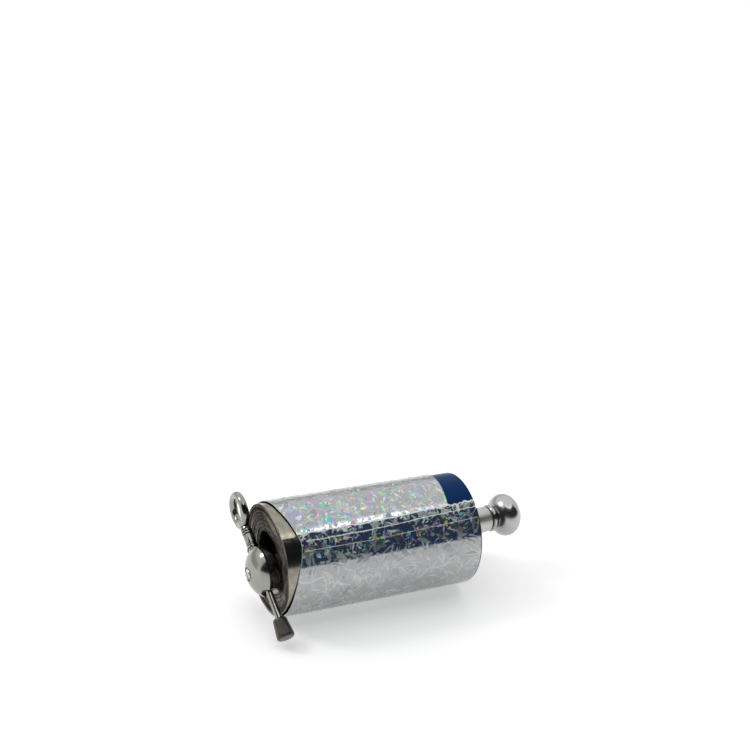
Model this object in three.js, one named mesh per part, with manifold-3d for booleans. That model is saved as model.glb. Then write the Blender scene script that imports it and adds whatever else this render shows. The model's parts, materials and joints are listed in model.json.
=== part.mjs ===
// Spring-steel appearing wand, rolled up and held by its lock.
// A long steel strip is wound into a short roll. A core rod runs from the knob through the
// roll and is held at the other end by a domed lock with a pull pin. With the pin pulled and
// the lock off, the strip springs out along X into a long slim tapered tube.
// Millimetres, +Z up. The roll lies along X: lock at -X, knob at +X, resting on its round side.

import * as THREE from 'three';
import { mergeVertices } from 'three/addons/utils/BufferGeometryUtils.js';
import Module from 'manifold-3d';

const wasm = await Module();
wasm.setup();

// ---- Driving dimensions --------------------------------------------------------------

const GAP = 0.3;                  // clearance between pieces that touch
const CUT_PAST = 1;               // how far a cutting shape runs past the piece it cuts
const LARGE_SEGMENTS = 32;
const MEDIUM_SEGMENTS = 24;
const SMALL_SEGMENTS = 16;

const STRIP_WIDTH = 87;           // length of the roll along X
const TURNS = 18;
const TURN_PITCH = 0.59;
const TURN_WALL = 0.28;
const TURN_OUTER_R = 22.9;        // outside of the first turn
const TURN_STEP_X = 0.07;         // each turn sits this much further towards the knob
const FACETS = 32;                // flats round one turn, one of them exactly at the bottom
const FACET = 2 * Math.PI / FACETS;
const SLIVER = 0.01;              // no corner lies closer than this angle to a sheet's end
const SEAM = FACET * 3.5;         // free edge of the strip, from the top towards -Y
const END_GAP = 0.4;              // space between the end of one turn and the start of the next

const FOIL_R = 24;                // outside of the whole roll
const FOIL_WALL = 0.25;
const FOIL_LEFT = 4.5;            // bare steel shows left of the foil
const FOIL_RIGHT = 86.6;
const FOIL_RIGHT_AT_SEAM = 75;    // the foil's right edge runs back, so blue film shows
const FOIL_LEAVES_RIM = 0.4;      // share of a turn after which it starts to run back
const FILM_R = 23.43;
const FILM_WALL = 0.23;
const FILM_LEFT = 12;
const FILM_RIGHT = 86.8;

const CORE_TILT = THREE.MathUtils.degToRad(2.95);     // slack lets the core lie askew
const CORE_PIVOT_X = 84;
const PIN_ANGLE = THREE.MathUtils.degToRad(56);       // pin direction, from straight down to -Y
const PIN_X = -4.5;

const CORE_R = 3;
const CORE_LEFT = -7.5;
const CORE_RIGHT = 99;
const CORE_BORE_R = CORE_R + GAP;

const PLUG_LEFT = 70;
const PLUG_RIGHT = 85;
const PLUG_TAPER_LEFT = 76;
const PLUG_TAPER_RIGHT = 83;
const PLUG_R = 10.8;
const PLUG_SMALL_R = 7.4;

const WASHER_R = 6.5;
const WASHER_T = 1.2;
const NUT_FLATS = 10;
const NUT_T = 5;

const NECK_R = 6.55;
const NECK_SMALL_R = 5.3;
const NECK_RIGHT = 103.4;
const COLLAR_R = 6.1;
const COLLAR_SMALL_R = 5.8;       // the ridge next to the knob
const COLLAR_SEAT_R = 5.4;
const COLLAR_GROOVE_R = 5.6;
const COLLAR_GROOVE_HALF = 0.2;
const COLLAR_CHAMFER = 0.3;
const COLLAR_RIGHT = 105.9;
const KNOB_R = 9.3;
const KNOB_HALF = 6.7;
const KNOB_X = 112.2;
const KNOB_SEAT_R = 4.6;
const KNOB_STEPS = 10;

const DOME_SPHERE_R = 12.8;
const DOME_APEX_X = -10.9;
const DOME_EDGE_R = 10.4;
const DOME_EDGE_STEP = 0.5;       // the crown's rim slopes in to the skirt over this length
const DOME_SKIRT_R = 10.1;
const DOME_STEPS = 7;
const DOME_BACK_X = -0.6;
const DOME_BORE_END = -9.3;
const HUB_R = 5.5;
const HUB_LEFT = -9;
const HUB_RIGHT = 7;
const SOCKET_R = 3.5;
const SOCKET_END = -7.9;
const SCREW_HEAD_R = 2.3;
const SCREW_HEAD_T = 0.7;
const SCREW_HEAD_CHAMFER = 0.3;
const SCREW_HEAD_SINK = 0.1;
const SCREW_R = 1.2;
const SCREW_TO_SOCKET = 0.2;
const SCREW_SLOT = 0.8;
const SCREW_SLOT_DEPTH = 0.4;

const SHANK_R = 2;
const ROD_R = 1.4;
const SHANK_END = 3.1;            // the thick shank stops just past the core
const SHANK_TAPER = 0.4;
const ROD_END = 28;
const ROD_CHAMFER = 0.3;
const SPIGOT_LENGTH = 3;          // thin end of the pin inside the ferrule
const EXIT_RECESS_R = 3.6;
const EXIT_RECESS_FLOOR = 8.6;
const FERRULE_START = -20.2;
const FERRULE_END = -10.9;
const FERRULE_R = 2.25;
const FERRULE_NECK_R = 2.05;
const FERRULE_FOOT_R = 2.15;
const FERRULE_GROOVES = 3;
const FERRULE_GROOVE_START = -19.3;
const FERRULE_GROOVE_PITCH = 0.8;
const FERRULE_GROOVE_HALF = 0.2;
const FERRULE_GROOVE_DEPTH = 0.3;
const RING_R = 6.3;
const RING_WIRE_R = 1.75;
const RING_CENTRE = -28.2;
const RING_TURN = THREE.MathUtils.degToRad(2);
const RING_WIRE_SEGMENTS = 10;
const RUBBER_START = 21.4;
const RUBBER_END = 30;
const RUBBER_R = 3.75;
const RUBBER_SMALL_R = 2.9;
const RUBBER_MOUTH_R = 2.5;
const RUBBER_MOUTH_LENGTH = 0.5;
const RUBBER_SHOULDER = 1.2;      // the far end is rounded over this length
const RUBBER_ROUND = 0.3;
const RUBBER_ROUND_R = 3.35;
const RUBBER_END_R = 2.55;

// ---- Materials -----------------------------------------------------------------------

const steel = () => new THREE.MeshStandardMaterial({ color: 0x8a8178, metalness: 1, roughness: 0.3 });
const holoFoil = () => new THREE.MeshStandardMaterial({ color: 0xc9ccd4, metalness: 1, roughness: 0.3 });
const blueFilm = () => new THREE.MeshStandardMaterial({ color: 0x16307c, metalness: 0.2, roughness: 0.35 });
const polished = () => new THREE.MeshStandardMaterial({ color: 0xb9bab8, metalness: 1, roughness: 0.16 });
const satin = () => new THREE.MeshStandardMaterial({ color: 0xb4b4b0, metalness: 1, roughness: 0.38 });
const rubber = () => new THREE.MeshStandardMaterial({ color: 0x1c1a12, metalness: 0, roughness: 0.3 });
const castAlloy = () => new THREE.MeshStandardMaterial({ color: 0x8f9092, metalness: 0.9, roughness: 0.5 });

// ---- Helpers -------------------------------------------------------------------------

function piece(name, geometry, material) {
  const mesh = new THREE.Mesh(geometry, material);
  mesh.name = name;
  return mesh;
}

// A wound sheet: flats of a circle or spiral about X, with straight or slanted side edges.
// start and end are angles from the top towards -Y; radius, left and right depend on the angle.
function woundSheet({ start, end, radius, wall, left, right }) {
  const angles = [start];
  const firstCorner = Math.floor(start / FACET - 0.5) + 1.5;
  for (let corner = firstCorner * FACET; corner < end - SLIVER; corner += FACET) {
    if (corner > start + SLIVER) {
      angles.push(corner);
    }
  }
  angles.push(end);
  const positions = [];
  for (const angle of angles) {
    const outer = radius(angle);
    for (const r of [outer, outer - wall]) {
      for (const x of [left(angle), right(angle)]) {
        positions.push(x, -r * Math.sin(angle), r * Math.cos(angle));
      }
    }
  }
  // corners of one section: 0 outer left, 1 outer right, 2 inner left, 3 inner right
  const rim = [0, 1, 3, 2];
  const index = [];
  for (let i = 0; i < angles.length - 1; i++) {
    const here = 4 * i;
    const next = here + 4;
    for (let side = 0; side < 4; side++) {
      const a = rim[side];
      const b = rim[(side + 1) % 4];
      index.push(here + a, next + a, next + b, here + a, next + b, here + b);
    }
  }
  const last = 4 * (angles.length - 1);
  index.push(0, 1, 3, 0, 3, 2);
  index.push(last, last + 3, last + 1, last, last + 2, last + 3);
  const geometry = new THREE.BufferGeometry();
  geometry.setAttribute('position', new THREE.Float32BufferAttribute(positions, 3));
  geometry.setIndex(index);
  return geometry;
}

// Turned piece about X from [x, r] points, starting and ending on the axis or closing itself.
function turned(points, segments = MEDIUM_SEGMENTS) {
  const profile = points.map(([x, r]) => new THREE.Vector2(r, x));
  return new THREE.LatheGeometry(profile, segments).rotateZ(-Math.PI / 2);
}

// Ring-shaped turned piece: the profile is closed back to its first point.
function turnedRing(points, segments = MEDIUM_SEGMENTS) {
  return turned([...points, points[0]], segments);
}

// Part of an ellipse centred on the axis, as [x, r] points.
function arcPoints(centreX, radiusX, radiusR, from, to, steps) {
  const points = [];
  for (let i = 0; i <= steps; i++) {
    const angle = from + (to - from) * i / steps;
    points.push([centreX + radiusX * Math.cos(angle), radiusR * Math.sin(angle)]);
  }
  return points;
}

function solid(geometry) {
  const bare = geometry.clone();
  bare.deleteAttribute('normal');
  bare.deleteAttribute('uv');
  const merged = mergeVertices(bare, 1e-4);
  return new wasm.Manifold(new wasm.Mesh({
    numProp: 3,
    vertProperties: new Float32Array(merged.attributes.position.array),
    triVerts: new Uint32Array(merged.index.array),
  }));
}

function geometryOf(manifold) {
  const mesh = manifold.getMesh();
  const geometry = new THREE.BufferGeometry();
  geometry.setAttribute('position', new THREE.BufferAttribute(mesh.vertProperties, 3));
  geometry.setIndex(new THREE.BufferAttribute(mesh.triVerts, 1));
  return geometry;
}

function cut(geometry, ...tools) {
  return geometryOf(tools.reduce((body, tool) => body.subtract(solid(tool)), solid(geometry)));
}

// Cylinder along X between two x values.
function rodAlongX(from, to, r, segments = SMALL_SEGMENTS) {
  return turned([[from, 0], [from, r], [to, r], [to, 0]], segments);
}

// Moves a piece made along X so that it lies along the pin, which crosses the core at PIN_X.
function alongPin(geometry) {
  return geometry.rotateZ(Math.PI / 2).translate(PIN_X, 0, 0);
}

function rodAlongPin(from, to, r) {
  return alongPin(rodAlongX(from, to, r));
}

// ---- The rolled strip and its skins --------------------------------------------------

function stripTurn(number) {
  const start = SEAM + 2 * Math.PI * (number - 1);
  const radius = (angle) => TURN_OUTER_R - TURN_PITCH * (angle - SEAM) / (2 * Math.PI);
  const half = END_GAP / 2 / radius(start);
  const shift = TURN_STEP_X * (number - 1);
  const geometry = woundSheet({
    start: start + half,
    end: start + 2 * Math.PI - half,
    radius,
    wall: TURN_WALL,
    left: () => shift,
    right: () => shift + STRIP_WIDTH,
  });
  return piece(`strip_turn_${String(number).padStart(2, '0')}`, geometry, steel());
}

function holoFoilWrap() {
  const half = END_GAP / 2 / FOIL_R;
  const leavesRim = SEAM + FOIL_LEAVES_RIM * 2 * Math.PI;
  const slope = (FOIL_RIGHT - FOIL_RIGHT_AT_SEAM) / (SEAM + 2 * Math.PI - leavesRim);
  return piece('holo_foil_wrap', woundSheet({
    start: SEAM + half,
    end: SEAM + 2 * Math.PI - half,
    radius: () => FOIL_R,
    wall: FOIL_WALL,
    left: () => FOIL_LEFT,
    right: (angle) => FOIL_RIGHT - slope * Math.max(0, angle - leavesRim),
  }), holoFoil());
}

function blueFilmWrap() {
  const half = END_GAP / 2 / FILM_R;
  return piece('blue_film_wrap', woundSheet({
    start: SEAM + half,
    end: SEAM + 2 * Math.PI - half,
    radius: () => FILM_R,
    wall: FILM_WALL,
    left: () => FILM_LEFT,
    right: () => FILM_RIGHT,
  }), blueFilm());
}

// ---- Knob end: everything fixed to the innermost turn --------------------------------

function tipPlug() {
  return piece('tip_plug', turnedRing([
    [PLUG_LEFT, CORE_BORE_R],
    [PLUG_LEFT, PLUG_R],
    [PLUG_TAPER_LEFT, PLUG_R],
    [PLUG_TAPER_RIGHT, PLUG_SMALL_R],
    [PLUG_RIGHT, PLUG_SMALL_R],
    [PLUG_RIGHT, CORE_BORE_R],
  ], LARGE_SEGMENTS), castAlloy());
}

function coreWasher() {
  const right = PLUG_LEFT - GAP;
  return piece('core_washer', turnedRing([
    [right - WASHER_T, CORE_BORE_R],
    [right - WASHER_T, WASHER_R],
    [right, WASHER_R],
    [right, CORE_BORE_R],
  ]), satin());
}

function coreNut() {
  const right = PLUG_LEFT - WASHER_T - 2 * GAP;
  const hex = rodAlongX(right - NUT_T, right, NUT_FLATS / Math.sqrt(3), 6);
  const bore = rodAlongX(right - NUT_T - CUT_PAST, right + CUT_PAST, CORE_BORE_R);
  return piece('core_nut', cut(hex, bore), satin());
}

// The rod's end is a keyhole: the thick shank fills the hole, the thin rod passes the slot.
function coreRod() {
  const slotWidth = 2 * (ROD_R + GAP);
  const hole = rodAlongPin(-CORE_R - CUT_PAST, CORE_R + CUT_PAST, SHANK_R + GAP);
  const slotLength = PIN_X - CORE_LEFT + CUT_PAST;
  const slot = new THREE.BoxGeometry(slotLength, 2 * (CORE_R + CUT_PAST), slotWidth);
  slot.translate(PIN_X - slotLength / 2, 0, 0);
  const rod = rodAlongX(CORE_LEFT, CORE_RIGHT, CORE_R, MEDIUM_SEGMENTS);
  return piece('core_rod', cut(rod, hole, slot), satin());
}

function knobNeck() {
  const left = PLUG_RIGHT + GAP;
  return piece('knob_neck', turned([
    [CORE_RIGHT + GAP, 0],
    [CORE_RIGHT + GAP, CORE_BORE_R],
    [left, CORE_BORE_R],
    [left, NECK_R],
    [NECK_RIGHT, NECK_SMALL_R],
    [NECK_RIGHT, 0],
  ], LARGE_SEGMENTS), satin());
}

function knobCollar() {
  const left = NECK_RIGHT + GAP;
  const middle = (left + COLLAR_RIGHT) / 2;
  return piece('knob_collar', turned([
    [left, 0],
    [left, COLLAR_R - COLLAR_CHAMFER],
    [left + COLLAR_CHAMFER, COLLAR_R],
    [middle - COLLAR_GROOVE_HALF, COLLAR_R],
    [middle, COLLAR_GROOVE_R],
    [middle + COLLAR_GROOVE_HALF, COLLAR_SMALL_R],
    [COLLAR_RIGHT, COLLAR_SEAT_R],
    [COLLAR_RIGHT, 0],
  ], LARGE_SEGMENTS), polished());
}

function knobBall() {
  const seatAngle = Math.PI - Math.asin(KNOB_SEAT_R / KNOB_R);
  const outline = arcPoints(KNOB_X, KNOB_HALF, KNOB_R, seatAngle, 0, KNOB_STEPS);
  return piece('knob_ball', turned([[outline[0][0], 0], ...outline], LARGE_SEGMENTS), polished());
}

// ---- Lock: domed cap and hub on the end of the core ----------------------------------

function domeCap() {
  const centreX = DOME_APEX_X + DOME_SPHERE_R;
  const edge = Math.PI - Math.asin(DOME_EDGE_R / DOME_SPHERE_R);
  const crown = arcPoints(centreX, DOME_SPHERE_R, DOME_SPHERE_R, Math.PI, edge, DOME_STEPS);
  crown[0][1] = 0;
  const edgeX = crown[crown.length - 1][0];
  const outside = turned([
    ...crown,
    [edgeX + DOME_EDGE_STEP, DOME_SKIRT_R],
    [DOME_BACK_X, DOME_SKIRT_R],
    [DOME_BACK_X, 0],
  ], LARGE_SEGMENTS);
  const outsideX = DOME_APEX_X - CUT_PAST;
  const outsideR = DOME_SPHERE_R + CUT_PAST;
  return piece('dome_cap', cut(
    outside,
    rodAlongX(DOME_BORE_END, DOME_BACK_X + CUT_PAST, HUB_R + GAP, MEDIUM_SEGMENTS),
    rodAlongX(outsideX, DOME_BORE_END + CUT_PAST, SCREW_R + GAP),
    rodAlongX(outsideX, DOME_APEX_X + SCREW_HEAD_SINK + SCREW_HEAD_T, SCREW_HEAD_R + GAP),
    rodAlongPin(-outsideR, 0, SHANK_R + GAP),
    rodAlongPin(0, outsideR, ROD_R + GAP),
    rodAlongPin(EXIT_RECESS_FLOOR, outsideR, EXIT_RECESS_R),
  ), polished());
}

function lockHub() {
  return piece('lock_hub', cut(
    rodAlongX(HUB_LEFT, HUB_RIGHT, HUB_R, MEDIUM_SEGMENTS),
    rodAlongX(SOCKET_END, HUB_RIGHT + CUT_PAST, SOCKET_R, MEDIUM_SEGMENTS),
    rodAlongX(HUB_LEFT - CUT_PAST, SOCKET_END + CUT_PAST, SCREW_R + GAP),
    rodAlongPin(-HUB_R - CUT_PAST, 0, SHANK_R + GAP),
    rodAlongPin(0, HUB_R + CUT_PAST, ROD_R + GAP),
  ), satin());
}

function domeScrew() {
  const headTop = DOME_APEX_X + SCREW_HEAD_SINK - GAP;
  const headFloor = headTop + SCREW_HEAD_T;
  const end = SOCKET_END - SCREW_TO_SOCKET;
  const screw = turned([
    [headTop, 0],
    [headTop, SCREW_HEAD_R - SCREW_HEAD_CHAMFER],
    [headTop + SCREW_HEAD_CHAMFER, SCREW_HEAD_R],
    [headFloor, SCREW_HEAD_R],
    [headFloor, SCREW_R],
    [end, SCREW_R],
    [end, 0],
  ]);
  const slotTop = SCREW_SLOT_DEPTH + CUT_PAST;
  const slot = new THREE.BoxGeometry(slotTop, 2 * (SCREW_HEAD_R + CUT_PAST), SCREW_SLOT);
  slot.translate(headTop + SCREW_SLOT_DEPTH - slotTop / 2, 0, 0);
  return piece('dome_screw', cut(screw, slot), satin());
}

// ---- Pull pin: ring, ferrule, stepped pin and rubber stop ----------------------------

function lockingPin() {
  const spigotStart = FERRULE_END - SPIGOT_LENGTH;
  return piece('locking_pin', alongPin(turned([
    [spigotStart, 0],
    [spigotStart, ROD_R],
    [FERRULE_END + GAP, ROD_R],
    [FERRULE_END + GAP, SHANK_R],
    [SHANK_END - SHANK_TAPER, SHANK_R],
    [SHANK_END, ROD_R],
    [ROD_END - ROD_CHAMFER, ROD_R],
    [ROD_END, ROD_R - ROD_CHAMFER],
    [ROD_END, 0],
  ], SMALL_SEGMENTS)), polished());
}

function ringFerrule() {
  const grooves = [];
  for (let i = 0; i < FERRULE_GROOVES; i++) {
    const x = FERRULE_GROOVE_START + FERRULE_GROOVE_PITCH * i;
    grooves.push([x - FERRULE_GROOVE_HALF, FERRULE_R]);
    grooves.push([x, FERRULE_R - FERRULE_GROOVE_DEPTH]);
    grooves.push([x + FERRULE_GROOVE_HALF, FERRULE_R]);
  }
  const socketEnd = FERRULE_END - SPIGOT_LENGTH - GAP;
  return piece('ring_ferrule', alongPin(turned([
    [FERRULE_START, 0],
    [FERRULE_START, FERRULE_NECK_R],
    ...grooves,
    [FERRULE_END, FERRULE_FOOT_R],
    [FERRULE_END, ROD_R + GAP],
    [socketEnd, ROD_R + GAP],
    [socketEnd, 0],
  ], SMALL_SEGMENTS)), polished());
}

function pullRing() {
  const ring = new THREE.TorusGeometry(RING_R, RING_WIRE_R, RING_WIRE_SEGMENTS, LARGE_SEGMENTS);
  ring.rotateY(Math.PI / 2 + RING_TURN).translate(PIN_X, RING_CENTRE, 0);
  const neck = rodAlongPin(RING_CENTRE + RING_R, FERRULE_START - GAP, FERRULE_NECK_R);
  return piece('pull_ring', geometryOf(solid(ring).add(solid(neck))), polished());
}

function rubberTip() {
  return piece('rubber_tip', alongPin(turned([
    [ROD_END + GAP, 0],
    [ROD_END + GAP, ROD_R + GAP],
    [RUBBER_START, ROD_R + GAP],
    [RUBBER_START, RUBBER_MOUTH_R],
    [RUBBER_START + RUBBER_MOUTH_LENGTH, RUBBER_SMALL_R],
    [RUBBER_END - RUBBER_SHOULDER, RUBBER_R],
    [RUBBER_END - RUBBER_ROUND, RUBBER_ROUND_R],
    [RUBBER_END, RUBBER_END_R],
    [RUBBER_END, 0],
  ])), rubber());
}

// ---- Assembly ------------------------------------------------------------------------

const wand = new THREE.Group();

const roll = new THREE.Group();
for (let number = 1; number <= TURNS; number++) {
  roll.add(stripTurn(number));
}
roll.add(holoFoilWrap(), blueFilmWrap());

// In this group +X is the core's own axis and +Y is the pin's direction, towards the rubber tip.
const core = new THREE.Group();
core.add(
  tipPlug(), coreWasher(), coreNut(), coreRod(), knobNeck(), knobCollar(), knobBall(),
  domeCap(), lockHub(), domeScrew(),
  lockingPin(), ringFerrule(), pullRing(), rubberTip(),
);
const pinRow = new THREE.Vector3(0, -Math.sin(PIN_ANGLE), -Math.cos(PIN_ANGLE));
const coreX = new THREE.Vector3(1, 0, 0).addScaledVector(pinRow, -Math.tan(CORE_TILT)).normalize();
const coreY = pinRow.clone().addScaledVector(new THREE.Vector3(1, 0, 0), Math.tan(CORE_TILT)).normalize();
const coreZ = new THREE.Vector3().crossVectors(coreX, coreY);
const pivot = new THREE.Vector3(CORE_PIVOT_X, 0, 0);
core.quaternion.setFromRotationMatrix(new THREE.Matrix4().makeBasis(coreX, coreY, coreZ));
core.position.copy(pivot).addScaledVector(coreX, -CORE_PIVOT_X);

wand.add(roll, core);

// The origin is under the middle of the whole object, on the surface it rests on.
wand.updateMatrixWorld(true);
const box = new THREE.Box3().setFromObject(wand, true);
wand.position.set(-(box.min.x + box.max.x) / 2, -(box.min.y + box.max.y) / 2, -box.min.z);

export default wand;
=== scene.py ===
import json
import math
import random

import bmesh
import bpy
from mathutils import Matrix, Vector, noise

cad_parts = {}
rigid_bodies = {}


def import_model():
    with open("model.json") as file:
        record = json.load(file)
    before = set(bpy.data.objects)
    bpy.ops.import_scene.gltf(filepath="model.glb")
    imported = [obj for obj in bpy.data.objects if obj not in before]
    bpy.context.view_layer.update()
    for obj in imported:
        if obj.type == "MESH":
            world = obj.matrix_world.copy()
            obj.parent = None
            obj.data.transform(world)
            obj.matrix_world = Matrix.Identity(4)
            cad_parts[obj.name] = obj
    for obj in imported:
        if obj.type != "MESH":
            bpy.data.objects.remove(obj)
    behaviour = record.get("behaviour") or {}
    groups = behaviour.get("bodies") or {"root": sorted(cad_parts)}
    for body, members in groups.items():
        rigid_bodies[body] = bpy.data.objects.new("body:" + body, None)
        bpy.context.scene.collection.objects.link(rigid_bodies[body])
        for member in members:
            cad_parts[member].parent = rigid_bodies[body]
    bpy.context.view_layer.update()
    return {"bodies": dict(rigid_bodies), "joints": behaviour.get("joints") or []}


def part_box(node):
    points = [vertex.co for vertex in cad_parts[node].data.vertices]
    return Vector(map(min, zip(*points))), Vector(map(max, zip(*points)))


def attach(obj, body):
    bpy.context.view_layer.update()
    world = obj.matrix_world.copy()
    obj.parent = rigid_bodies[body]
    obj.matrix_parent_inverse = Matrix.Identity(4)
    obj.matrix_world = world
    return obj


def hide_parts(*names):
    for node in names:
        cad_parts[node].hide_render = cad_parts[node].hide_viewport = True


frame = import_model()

# Lengths below are millimetres. The roll lies along X, lock at -X, knob at +X. Places on the
# roll are (x from its left rim, angle from the top towards the camera side, radius).

MM = 0.001
TAU = 2 * math.pi


def deg(value):
    return math.radians(value)


# ---- Frame: the roll's axis and the core's own axes ------------------------------------

FOIL_LO, FOIL_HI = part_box("holo_foil_wrap")
ROLL_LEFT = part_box("strip_turn_01")[0].x / MM
ROLL_AXIS = (FOIL_LO + FOIL_HI) / 2 / MM
JOINTS = {joint["name"]: joint for joint in frame["joints"]}
TRAVEL = JOINTS["deploy"]["range_m"][1] / MM

CORE_X = -Vector(JOINTS["lock_off"]["axis"])
CORE_Y = -Vector(JOINTS["pin_pull"]["axis"])
CORE_Z = CORE_X.cross(CORE_Y)
WASHER_MIDDLE = 69.1
WASHER_LO, WASHER_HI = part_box("core_washer")
CORE_ORIGIN = (WASHER_LO + WASHER_HI) / 2 / MM - CORE_X * WASHER_MIDDLE
CORE = Matrix((CORE_X, CORE_Y, CORE_Z)).transposed().to_4x4()
CORE.translation = CORE_ORIGIN


def roll_point(x, angle, r):
    return Vector((ROLL_LEFT + x, ROLL_AXIS.y - r * math.sin(angle), ROLL_AXIS.z + r * math.cos(angle)))


# ---- Driving dimensions, mm unless they say otherwise ----------------------------------

TURNS = 18
STRIP_WIDTH = 87
TURN_OUTER_R = 22.9
TURN_PITCH = 0.59
TURN_WALL = 0.28
TURN_STEP_X = 0.07
SEAM = deg(39.375)
STEPS_ROUND = 120            # faces along one turn
TURN_END_GAP = 0.0015        # radians: neighbouring turns meet here almost without a break
FLARE = 0.90                 # how far the first turn opens at the lock end
FLARE_TURNS = 6
FLARE_FADES = (7.5, 14.0)    # distance from the rim over which it closes again
# Outer turns whose edges keep the lit edge colour; edges of deeper turns get painted half shade.
LIT_EDGE_TURNS = 5
EDGE_SWAY = (0.1, 0.3)       # how far a turn's edge may sway, side to side
OUTER_EDGE_SWAY = 0.05
STEEL_MARGIN = 0.11          # share of the first turn's width left bare of film
INNER_STEEL_MARGIN = 0.055
RIM_SHARE = 0.025            # share of the width given painted shade inside the rim

SPRUNG_TURNS = 19            # the strip makes one more turn once it has tightened
SPRUNG_R = 15.0
SPRUNG_END_R = 11.9
SPRUNG_WALL = 0.05
SPRUNG_STEP = TRAVEL / (SPRUNG_TURNS - 2)
SPRUNG_FILM_LIFT = 0.2       # how far each layer lies outside the sprung strip
SPRUNG_FOIL_LIFT = 0.4
SPRUNG_TAPE_LIFT = 0.42

FOIL_R = 24.2
FOIL_WALL = 0.14
FOIL_LIP = 0.2               # extra thickness of the foil's turned left edge
FOIL_OVERLAP = deg(4)
FOIL_RIGHT = 86.3
FOIL_RUNS_BACK = 12.1        # how far the right edge has run back at the end of the winding
FOIL_LEAVES_RIM = TAU * 0.36
FOIL_STEPS_ROUND = 180
FOIL_COLUMNS = 70            # faces across the foil
TAPE_COLUMNS = 90            # faces along a torn edge
SEAM_TURN = deg(36.2)
FILM_R = 23.85
FILM_LEFT = 66
FILM_WIDTH = 20.9

BORE_R = 3.3                 # clearance bore round the core rod
CORE_ROD_R = 3
NUT_FLATS = 10
PIN_X = -4.5                 # where the pin crosses the core
SHANK_R = 2.0                # thick part of the pin
ROD_R = 1.4                  # thin part of the pin
SHANK_HOLE_R = 2.3
ROD_HOLE_R = 1.7
DOME_APEX_X = -10.9
DOME_SPHERE_R = 12.8
DOME_EDGE_R = 10.4
DOME_SKIRT_R = 10.1
DOME_CAVITY_R = 5.8
HUB_R = 5.5
HUB_BORE_R = 3.5
SCREW_HOLE_R = 1.5
SCREW_SEAT_R = 3.0
SCREW_SHANK_R = 1.2
KNOB_X = 112.2
KNOB_R = 9.3
KNOB_HALF = 6.7
KNOB_SEAT_R = 4.6
KNOB_FOOT_R = 4.3
FERRULE_R = 2.25
FERRULE_BORE_R = 1.7
GROOVE_SHADE_R = 2.02        # the ferrule gets painted shade inside this radius, at the bottom of its grooves
RUBBER_BORE_R = 1.7
RING_CENTRE = -28.2
RING_R = 6.3
RING_WIRE_R = 1.75
RING_TURN = deg(2)
RING_VOXEL = 0.22

# ---- Turned profiles: (x, radius) along the core ------------------------------------------

NECK_PROFILE = [(85.3, 0), (85.3, 6.55), (88, 6.5), (103.4, 5.3), (103.4, 0)]
COLLAR_PROFILE = [
    (103.7, 0), (103.7, 5.5), (104.2, 5.95), (104.6, 5.55), (104.9, 5.55), (105.25, 5.8), (105.55, 5.3),
    (105.9, 5.2), (105.9, 0),
]
PLUG_PROFILE = [(70, BORE_R), (70, 10.8), (76, 10.8), (83, 7.4), (85, 7.4), (85, BORE_R)]
WASHER_PROFILE = [(68.5, BORE_R), (68.5, 6.5), (69.7, 6.5), (69.7, BORE_R)]
CORE_ROD_PROFILE = [(-7.5, 0), (-7.5, CORE_ROD_R), (99, CORE_ROD_R), (99, 0)]
HUB_PROFILE = [(-9, 0), (-9, HUB_R), (7, HUB_R), (7, 0)]
SCREW_PROFILE = [
    (-11.1, 0), (-11.1, 1.9), (-10.4, 2.3), (-10.4, SCREW_SHANK_R), (-8.1, SCREW_SHANK_R), (-8.1, 0),
]

# ---- Turned profiles: (x, radius) along the pin, from where it crosses the core ------------

PIN_PROFILE = [
    (-13.9, 0), (-13.9, ROD_R), (-10.6, ROD_R), (-10.6, SHANK_R), (2.7, SHANK_R), (3.1, ROD_R),
    (28, ROD_R), (28, 0),
]
DOME_FLARE_PROFILE = [(8.6, 0), (8.6, 3.2), (12, 4.4), (12, 0)]
RING_NECK_PROFILE = [(-23.6, 0), (-23.6, 2.6), (-22.6, 2.35), (-21.4, 2.1), (-20.5, 2.1), (-20.5, 0)]
RUBBER_PROFILE = [
    (28.3, 0), (28.3, RUBBER_BORE_R), (21.4, RUBBER_BORE_R), (21.4, 2.75), (22.4, 2.98),
    (29.4, 3.78), (30, 3.2), (30, 0),
]
# Grooves of the ferrule: middle, half width at the surface, depth.
FERRULE_GROOVES = (
    (-19.2, 0.26, 0.5), (-18.05, 0.26, 0.5), (-16.9, 0.26, 0.5), (-12.6, 0.16, 0.25), (-11.9, 0.16, 0.25),
)


def smooth(edge0, edge1, value):
    t = min(1, max(0, (value - edge0) / (edge1 - edge0)))
    return t * t * (3 - 2 * t)


def curve_through(points, at):
    """Smooth curve through (place, value) points; the first and last only set its slope."""
    for i in range(1, len(points) - 2):
        if at <= points[i + 1][0]:
            break
    (a, p), (b, q), (c, r), (d, s) = points[i - 1:i + 3]
    t = (at - b) / (c - b)
    m0 = (r - p) / (c - a) * (c - b)
    m1 = (s - q) / (d - b) * (c - b)
    t2, t3 = t * t, t * t * t
    return (2 * t3 - 3 * t2 + 1) * q + (t3 - 2 * t2 + t) * m0 + (3 * t2 - 2 * t3) * r + (t3 - t2) * m1


# ---- Node helpers ----------------------------------------------------------------------

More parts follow.
